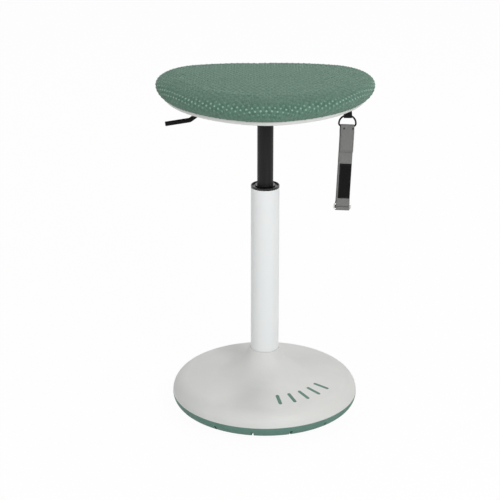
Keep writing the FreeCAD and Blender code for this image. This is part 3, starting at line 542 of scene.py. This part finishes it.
def scatter_tree(name, facets, rings):
    """Nodes that put one small rounded part on each point, lying along it and facing out of the surface."""
    tree = bpy.data.node_groups.new(name, "GeometryNodeTree")
    tree.is_modifier = True
    for title, kind in (("Points", "NodeSocketGeometry"), ("Length", "NodeSocketFloat"),
                        ("Width", "NodeSocketFloat"), ("Height", "NodeSocketFloat"),
                        ("Unevenness", "NodeSocketFloat"), ("Material", "NodeSocketMaterial")):
        tree.interface.new_socket(title, in_out="INPUT", socket_type=kind)
    tree.interface.new_socket("Parts", in_out="OUTPUT", socket_type="NodeSocketGeometry")

    def add(kind, settings=(), **inputs):
        made = tree.nodes.new(kind)
        for key, value in dict(settings).items():
            setattr(made, key, value)
        for key, value in inputs.items():
            socket = made.inputs[key.replace("_", " ")]
            if isinstance(value, bpy.types.NodeSocket):
                tree.links.new(value, socket)
            else:
                socket.default_value = value
        return made

    given = add("NodeGroupInput")
    part = add("GeometryNodeMeshUVSphere", Segments=facets, Rings=rings, Radius=1.0)
    facing = add("GeometryNodeInputNamedAttribute", {"data_type": "FLOAT_VECTOR"}, Name="facing")
    lying = add("GeometryNodeInputNamedAttribute", {"data_type": "FLOAT_VECTOR"}, Name="lying")
    turn = add("FunctionNodeAxesToRotation", {"primary_axis": "Z", "secondary_axis": "X"})
    tree.links.new(facing.outputs[0], turn.inputs[0])
    tree.links.new(lying.outputs[0], turn.inputs[1])
    size = add("ShaderNodeCombineXYZ", X=given.outputs["Length"], Y=given.outputs["Width"],
               Z=given.outputs["Height"])
    low = add("ShaderNodeMath", {"operation": "SUBTRACT"})
    low.inputs[0].default_value = 1.0
    tree.links.new(given.outputs["Unevenness"], low.inputs[1])
    vary = add("FunctionNodeRandomValue", {"data_type": "FLOAT"})
    tree.links.new(low.outputs[0], vary.inputs[2])
    vary.inputs[3].default_value = 1.0
    vary.inputs["Seed"].default_value = 7
    spread = add("ShaderNodeVectorMath", {"operation": "SCALE"})
    tree.links.new(size.outputs[0], spread.inputs[0])
    tree.links.new(vary.outputs[1], spread.inputs["Scale"])
    placed = add("GeometryNodeInstanceOnPoints", Points=given.outputs["Points"],
                 Instance=part.outputs["Mesh"], Rotation=turn.outputs[0], Scale=spread.outputs[0])
    real = add("GeometryNodeRealizeInstances", Geometry=placed.outputs[0])
    shaded = add("GeometryNodeSetShadeSmooth", Geometry=real.outputs[0])
    painted = add("GeometryNodeSetMaterial", Geometry=shaded.outputs[0], Material=given.outputs["Material"])
    tree.links.new(painted.outputs[0], add("NodeGroupOutput").inputs[0])
    return tree


def scattered(name, tree, points, facing, lying, material, body, slot, marks=None, **sizes):
    """A plain mesh of small parts at these points, made by the tree and riding on one body. Marks are
    values for the material that each point gives its part."""
    piece = new_piece(name, points, [], material)
    for title, values in (("facing", facing), ("lying", lying)):
        mark = piece.data.attributes.new(title, "FLOAT_VECTOR", "POINT")
        mark.data.foreach_set("vector", np.array(values, float).ravel())
    for title, values in (marks or {}).items():
        mark = piece.data.attributes.new(title, "FLOAT", "POINT")
        mark.data.foreach_set("value", np.array(values, float))
    maker = piece.modifiers.new("parts", "NODES")
    maker.node_group = tree
    sockets = {item.name: item.identifier for item in tree.interface.items_tree}
    for title, value in dict(sizes, Material=material).items():
        maker[sockets[title]] = value
    made = bpy.data.meshes.new_from_object(piece.evaluated_get(bpy.context.evaluated_depsgraph_get()))
    piece.modifiers.remove(maker)
    piece.data = made
    made.name = name
    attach(piece, body)
    return piece


flat_dots = np.array([((i + 0.5 * (j % 2)) * dot_pitch, first_row + j * dot_row)
                      for j in range(math.ceil(pattern_depth / dot_row))
                      for i in range(-dots_each_side, dots_each_side + 1)])
laid, over_edge = on_cushion(flat_dots)
kept = over_edge < over_length + under_length - bare_hem
laid, over_edge = laid[kept], over_edge[kept]
surface = BVHTree.FromPolygons([v.co for v in smooth_mesh.vertices],
                               [p.vertices for p in smooth_mesh.polygons])
dot_points, dot_facing = [], []
for point in laid:
    spot, normal, _, _ = surface.find_nearest(Vector(point))
    dot_points.append(spot)
    dot_facing.append(normal)
# Painted highlight: each dot is lighter the nearer it lies to the middle of the belt over the edge, up to
# srgb(152, 188, 172).
dot_painted_highlight = 0.05 + 0.95 * np.exp(-((over_edge - highlight_over_edge) / highlight_spread) ** 2)
dots = Finish("knit_dots_painted_highlight", Sheen_Weight=0.2, Sheen_Roughness=0.5, Specular_IOR_Level=0.3)
twist = dots.noise(900, 3)
highlight_share = dots.node("ShaderNodeAttribute", {"attribute_name": "painted_highlight"}, {}, 2)
dots_colour = dots.colour(highlight_share, srgb(86, 122, 105), srgb(152, 188, 172))
dots_colour = dots.colour(twist.rise(0.4, 0.75) * 0.3, dots_colour, srgb(82, 118, 101))
dots_material = dots.surface(dots_colour, 0.7 + 0.16 * twist, dots.relief(twist, 0.15 * mm))
small_parts = scatter_tree("small_parts", facets=9, rings=6)
across_seat = [(1, 0, 0)] * len(dot_points)
scattered("knit_dots", small_parts, dot_points, dot_facing, across_seat, dots_material, "seat", "knit",
          {"painted_highlight": dot_painted_highlight}, Length=dot_r, Width=dot_r, Height=dot_h, Unevenness=0.16)


# The ring tab: a short length of black webbing, folded round the arch of the D-ring and screwed under the
# pan with both its ends. The ring itself is bent wire with a black coat.

strap_x, strap_y = 139.0 * mm, -38.0 * mm
pivot_z = 556.75 * mm
pan_z = 562.3 * mm


def webbing(path, width, thickness, shift):
    """A flat band along a path of (front to back, height) points: its points, faces and flat pattern.
    Shift is where the band's middle is from side to side, for the whole path or for each point of it."""
    path = np.array(path, float)
    ahead = np.gradient(path, axis=0)
    ahead /= np.linalg.norm(ahead, axis=1, keepdims=True)
    normal = np.column_stack([-ahead[:, 1], ahead[:, 0]])
    run = np.concatenate([[0], np.cumsum(np.linalg.norm(np.diff(path, axis=0), axis=1))])
    shift = np.broadcast_to(shift, len(path))
    half, deep = width / 2, thickness / 2
    stations = [(-1.0, 0.0), (-0.985, 0.75), (-0.94, 1.0), (-0.88, 0.86), (-0.5, 0.9),
                (0, 0.92), (0.5, 0.9), (0.88, 0.86), (0.94, 1.0), (0.985, 0.75)]
    section = stations + [(1.0, 0.0)] + [(s, -t) for s, t in reversed(stations[1:])]
    points, flat = [], []
    for place, out, length, off in zip(path, normal, run, shift):
        for s, t in section:
            y, z = place + out * (t * deep)
            points.append((off + s * half, y, z))
            flat.append((s * half, length))
    count = len(section)
    faces = []
    for row in range(0, (len(path) - 1) * count, count):
        faces += [(row + j, row + (j + 1) % count, row + count + (j + 1) % count, row + count + j)
                  for j in range(count)]
    last = (len(path) - 1) * count
    faces += [tuple(reversed(range(count))), tuple(range(last, last + count))]
    return np.array(points), faces, np.array(flat)


def arc(centre, radius, start, end, count):
    return [(centre[0] + radius * math.cos(math.radians(a)), centre[1] + radius * math.sin(math.radians(a)))
            for a in np.linspace(start, end, count)]


def straights(start, *stops):
    """Straight runs from a point through stops, each an end point and a count of points, start left out."""
    points = []
    for end, count in stops:
        points += [tuple(p) for p in np.linspace(start, end, count)][1:]
        start = end
    return points


def tape_piece(name, points, faces, flat, material, body, slot):
    piece = new_piece(name, points, faces, material)
    lay_pattern(piece.data, flat)
    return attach(piece, body)


def weave(name, dark, light, rib, slub=0.5, sheen=0.15):
    """Narrow woven tape: ribs across its length, yarns along it, and a firmer selvedge."""
    tape = Finish(name, Sheen_Weight=sheen, Sheen_Roughness=0.5, Specular_IOR_Level=0.2)
    spot = tape.place(flat=True)
    side, far = tape.axis(spot, "X"), tape.axis(spot, "Y")
    yarns = (side * (2 * math.pi / (0.9 * rib))).cosine()
    picks = (far * (2 * math.pi / rib) + 1.2 * yarns).cosine()
    fuzz = tape.noise(300, 4, tape.place((1, 0.6, 1), flat=True))
    selvedge = side.size().rise(9.6 * mm, 10.6 * mm)
    tone = tape.colour((0.5 + 0.5 * picks) * (0.7 + 0.3 * yarns), dark, light)
    tone = tape.colour(fuzz.rise(0.35, 0.7) * slub, tone, dark)
    tone = tape.colour(selvedge * 0.3, tone, dark)
    return tape.surface(tone, 0.72 + 0.18 * fuzz, tape.relief(picks * 0.5 + fuzz * 0.5, 0.25 * mm))


tab_material = weave("black_tab_tape", srgb(9, 9, 10), srgb(28, 28, 30), 0.9 * mm, sheen=0.03)
tab_t, tab_w = 1.1 * mm, 13.8 * mm
tab_back = 26 * mm
upper_z = pan_z - tab_t * 0.5 - 0.05 * mm
lower_z = upper_z - tab_t
loop_r = 4.5 * mm
tab_path = [(tab_back, lower_z), *straights((tab_back, lower_z), ((6.0 * mm, lower_z), 8))]
tab_path += arc((0.0, pivot_z), loop_r, 32, -212, 30)
tab_path += straights(tab_path[-1], ((-1.2 * mm, upper_z - 0.5 * mm), 4), ((4 * mm, upper_z), 4),
                      ((tab_back, upper_z), 9))
tab_shape = webbing([(strap_y + y, z) for y, z in tab_path], tab_w, tab_t, strap_x)
ring_tab = tape_piece("ring_tab_tape", *tab_shape, tab_material, "seat", "black_webbing")
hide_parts("ring_tab")
dress(powder_material, "d_ring")


# The hanging strap: one length of grey webbing that loops over the ring's bar and round both bars of the
# slide ring. Its end is folded back over the front and sewn down, with a bar tack by each edge of the fold.

lean = math.radians(2.3)
band_w, band_t = 23.0 * mm, 1.35 * mm
ply = 0.75 * mm
fold_z = 537.2 * mm
fold_r = 3.05 * mm
flap_low, flap_high = 490.6 * mm, 523 * mm
back_high, back_low = 521 * mm, 404 * mm
high_bar_z, low_bar_z = 398.1 * mm, 389.6 * mm
bar_out = 2.25 * mm
front_low = 408 * mm
sideways = 1.1 * mm
even_above, even_below, even_rounds = 4 * mm, 6 * mm, 12


def hung(points):
    """Turns points built upright below the ring's pivot by the strap's lean."""
    points = np.array(points, float).reshape(-1, 3)
    x, z = points[:, 0], points[:, 2] - pivot_z
    return np.column_stack([strap_x + x * math.cos(lean) + z * math.sin(lean), strap_y + points[:, 1],
                            pivot_z - x * math.sin(lean) + z * math.cos(lean)])


band_path = straights((-3 * ply, flap_low), ((-3 * ply, flap_high), 20), ((-fold_r, fold_z - 4 * mm), 8))
band_path += arc((0, fold_z), fold_r, 180, 0, 22)
band_path += straights((fold_r, fold_z), ((ply + 0.5 * mm, back_high + 6 * mm), 9), ((ply, back_high), 5),
                       ((ply, back_low), 40), ((bar_out, high_bar_z + 1 * mm), 7), ((bar_out, low_bar_z), 8))
band_path += arc((0, low_bar_z), bar_out, 0, -180, 22)[1:]
crease = [(-2.25, 390.6), (-2.15, 391.9), (-1.35, 393.0), (-0.75, 393.85), (-1.35, 394.7), (-2.15, 395.8),
          (-2.25, 397.1), (-2.25, 398.4), (-2.0, 400.0), (-1.35, 402.6), (-0.85, 405.0)]
band_path += [(y * mm, z * mm) for y, z in crease]
band_path += straights(band_path[-1], ((-ply, front_low), 3), ((-ply, flap_high), 42))
band = np.array(band_path)
shift = sideways * np.clip(-band[:, 0] / (2 * ply), -1, 1)
shift *= np.clip((fold_z + even_above - band[:, 1]) / (even_above + even_below), 0, 1)
for _ in range(even_rounds):
    shift[1:-1] = (shift[:-2] + 2 * shift[1:-1] + shift[2:]) / 4
grey_tape = weave("grey_strap_tape", srgb(117, 117, 116), srgb(147, 147, 145), 1.25 * mm)
band_points, band_faces, band_flat = webbing(band, band_w, band_t, shift)
strap = tape_piece("strap_band", hung(band_points), band_faces, band_flat, grey_tape, "strap", "webbing")
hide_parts("hang_strap")
dress(nickel_material, "slide_ring")


# The label: a bare black woven patch, hemmed top and bottom and sewn to the front of the strap by its edge.

label_x = 1.6 * mm
label_top, label_low = 471.0 * mm, 409.0 * mm
label_w, label_t = 20.2 * mm, 0.55 * mm
hem = 4 * mm
front_face = -1.5 * mm
edge_y, hem_y, patch_y = front_face - 0.1 * mm, front_face - 0.8 * mm, front_face - 0.45 * mm
label_material = weave("black_label_weave", srgb(7, 7, 8), srgb(20, 20, 22), 0.5 * mm, 0.3, 0.02)
label_path = [(edge_y, label_low)]
label_path += straights((hem_y + 0.05 * mm, label_low + 0.3 * mm), ((hem_y, label_low + hem), 4),
                        ((patch_y, label_low + hem + 1 * mm), 3), ((patch_y, label_top - hem - 1 * mm), 24),
                        ((hem_y, label_top - hem), 3), ((hem_y + 0.05 * mm, label_top - 0.3 * mm), 4))
label_path.append((edge_y, label_top))
label_points, label_faces, label_flat = webbing(label_path, label_w, label_t, label_x)
label = tape_piece("label_patch", hung(label_points), label_faces, label_flat, label_material, "strap",
                   "black_webbing")
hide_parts("strap_label")


# The sewing: grey thread round the flap, dark bar tacks at the fold, a dark row between the slide ring's bars
# that is painted shade for the crease there, and black thread round the label. Each stitch is a short
# rounded thread that sinks into the webbing.

stitch_r = 0.32 * mm


def stitch_row(start, end, pitch, depth):
    """Stitches between two (sideways, height) places, at a depth in front of the ring's bar."""
    start, end = np.array(start, float), np.array(end, float)
    length = np.linalg.norm(end - start)
    count = max(1, round(length / pitch))
    return [(start + (end - start) * (i + 0.5) / count, (end - start) / length, depth) for i in range(count)]


def sewn(name, stitches, material, long):
    places = hung([(x, depth, z) for (x, z), _, depth in stitches])
    ways = [(x * math.cos(lean) + z * math.sin(lean), 0, -x * math.sin(lean) + z * math.cos(lean))
            for _, (x, z), _ in stitches]
    scattered(name, small_parts, places, [(0, -1, 0)] * len(places), ways, material, "strap", "webbing",
              Length=long / 2, Width=stitch_r, Height=stitch_r, Unevenness=0.1)


def thread(name, one, other):
    twisted = Finish(name, Sheen_Weight=0.1, Specular_IOR_Level=0.4)
    strands = twisted.noise(1600, 2, twisted.place((1, 1, 3)))
    return twisted.surface(twisted.colour(strands, one, other), 0.5 + 0.2 * strands,
                           twisted.relief(strands, 0.08 * mm))


flap_front = -3 * ply - 0.66 * mm
flap_rows = []
for z in (493.1 * mm, 496.1 * mm):
    flap_rows += stitch_row((-9.0 * mm, z), (10.6 * mm, z), 2.4 * mm, flap_front)
for x in (-8.6 * mm, 10.4 * mm):
    flap_rows += stitch_row((x, 497.6 * mm), (x, 524 * mm), 2.4 * mm, flap_front)
sewn("flap_stitches", flap_rows, thread("grey_thread", srgb(96, 96, 95), srgb(126, 126, 124)), 2.2 * mm)

fold_front = -fold_r - 0.62 * mm
ring_row_front = -1.5 * mm
tack_and_crease_rows = []
for left, right in ((-7.0 * mm, -3.2 * mm), (8.0 * mm, 11.8 * mm)):
    for k in range(6):
        z = (533.0 + 0.5 * k) * mm
        tack_and_crease_rows += stitch_row((left, z), (right, z), 4.0 * mm, fold_front)
# Painted shade: this dark row of stitches in the crease between the slide ring's bars stands for the crease's
# shadow.
for z in (393.5 * mm, 394.1 * mm):
    tack_and_crease_rows += stitch_row((-9.2 * mm, z), (11.4 * mm, z), 3.0 * mm, ring_row_front)
sewn("bar_tacks_and_crease_shade_row", tack_and_crease_rows, thread("dark_thread", srgb(30, 30, 31), srgb(52, 52, 52)), 4.0 * mm)

side_inset, end_inset = 1.2 * mm, 1.6 * mm
label_rows = []
for x in (label_x - label_w / 2 + side_inset, label_x + label_w / 2 - side_inset):
    label_rows += stitch_row((x, label_low + 2 * mm), (x, label_top - 2 * mm), 2.0 * mm, patch_y - 0.27 * mm)
for z in (label_low + end_inset, label_top - end_inset):
    label_rows += stitch_row((label_x - 8.2 * mm, z), (label_x + 8.2 * mm, z), 2.0 * mm, hem_y - 0.22 * mm)
sewn("label_stitches", label_rows, thread("black_thread", srgb(12, 12, 12), srgb(34, 34, 35)), 1.8 * mm)


# The studio: a pale floor that runs out of sight, white all round, a large soft lamp from the upper right
# and the camera where the photograph was taken from.

floor_reach, floor_z = 6, -0.4 * mm
white_share = 0.965
paper = Finish("paper_floor")
paper.surface(paper.colour(paper.noise(40, 3), (0.93, 0.93, 0.93, 1), (0.95, 0.95, 0.95, 1)), 0.8)
rays = paper.tree.nodes.new("ShaderNodeLightPath")
seen = Amount(paper, rays.outputs["Is Camera Ray"])
for kind in ("Is Glossy Ray", "Is Transmission Ray"):
    seen = seen.combine("MAXIMUM", seen, Amount(paper, rays.outputs[kind]))
white = paper.node("ShaderNodeEmission", {}, {"Color": (1, 1, 1, 1), "Strength": 1.0})
lit = Amount(paper, paper.shader.outputs[0])
paper.feed(paper.output.inputs["Surface"],
           paper.node("ShaderNodeMixShader", {}, {0: seen * white_share, 1: lit, 2: white}))
floor = new_piece("floor", [(x * floor_reach, y * floor_reach, floor_z)
                            for x, y in ((-1, -1), (1, -1), (1, 1), (-1, 1))], [(0, 1, 2, 3)], paper.material)

world = bpy.data.worlds.new("studio")
bpy.context.scene.world = world
world.use_nodes = True
sky = world.node_tree
sky.nodes.clear()
backdrop = sky.nodes.new("ShaderNodeBackground")
backdrop.inputs["Color"].default_value = (1, 1, 1, 1)
sky.links.new(backdrop.outputs[0], sky.nodes.new("ShaderNodeOutputWorld").inputs["Surface"])
sky_rays = sky.nodes.new("ShaderNodeLightPath")
any_seen = sky_rays.outputs["Is Camera Ray"]
for kind in ("Is Glossy Ray", "Is Transmission Ray"):
    more = sky.nodes.new("ShaderNodeMath")
    more.operation = "MAXIMUM"
    sky.links.new(any_seen, more.inputs[0])
    sky.links.new(sky_rays.outputs[kind], more.inputs[1])
    any_seen = more.outputs[0]
ambient = 0.43
level = sky.nodes.new("ShaderNodeMath")
level.operation = "MULTIPLY_ADD"
level.inputs[1].default_value = 1 - ambient
level.inputs[2].default_value = ambient
sky.links.new(any_seen, level.inputs[0])
sky.links.new(level.outputs[0], backdrop.inputs["Strength"])


def lamp(name, place, aim, width, watts):
    light = bpy.data.lights.new(name, "AREA")
    light.shape = "DISK"
    light.size = width
    light.energy = watts
    holder = bpy.data.objects.new(name, light)
    holder.location = place
    holder.rotation_euler = (Vector(aim) - Vector(place)).to_track_quat("-Z", "Y").to_euler()
    bpy.context.scene.collection.objects.link(holder)


lamp("key", (1.1, -2.3, 1.9), (0, 0, 0.3), 1.2, 38.0)
lamp("fill", (-2.2, -1.6, 1.5), (0, 0, 0.3), 1.6, 8.0)
lamp("back", (0.6, 2.2, 2.2), (0, 0, 0.5), 1.4, 16.0)

look_down = 20.5
viewpoint = bpy.data.cameras.new("camera")
viewpoint.sensor_width = 36.0
viewpoint.lens = 115.13
viewpoint.clip_end = 50.0
camera = bpy.data.objects.new("camera", viewpoint)
camera.location = (-0.0265, -2.650, 1.290)
camera.rotation_euler = (math.radians(90 - look_down), 0, 0)
bpy.context.scene.collection.objects.link(camera)
bpy.context.scene.camera = camera
bpy.context.scene.view_settings.view_transform = "Standard"
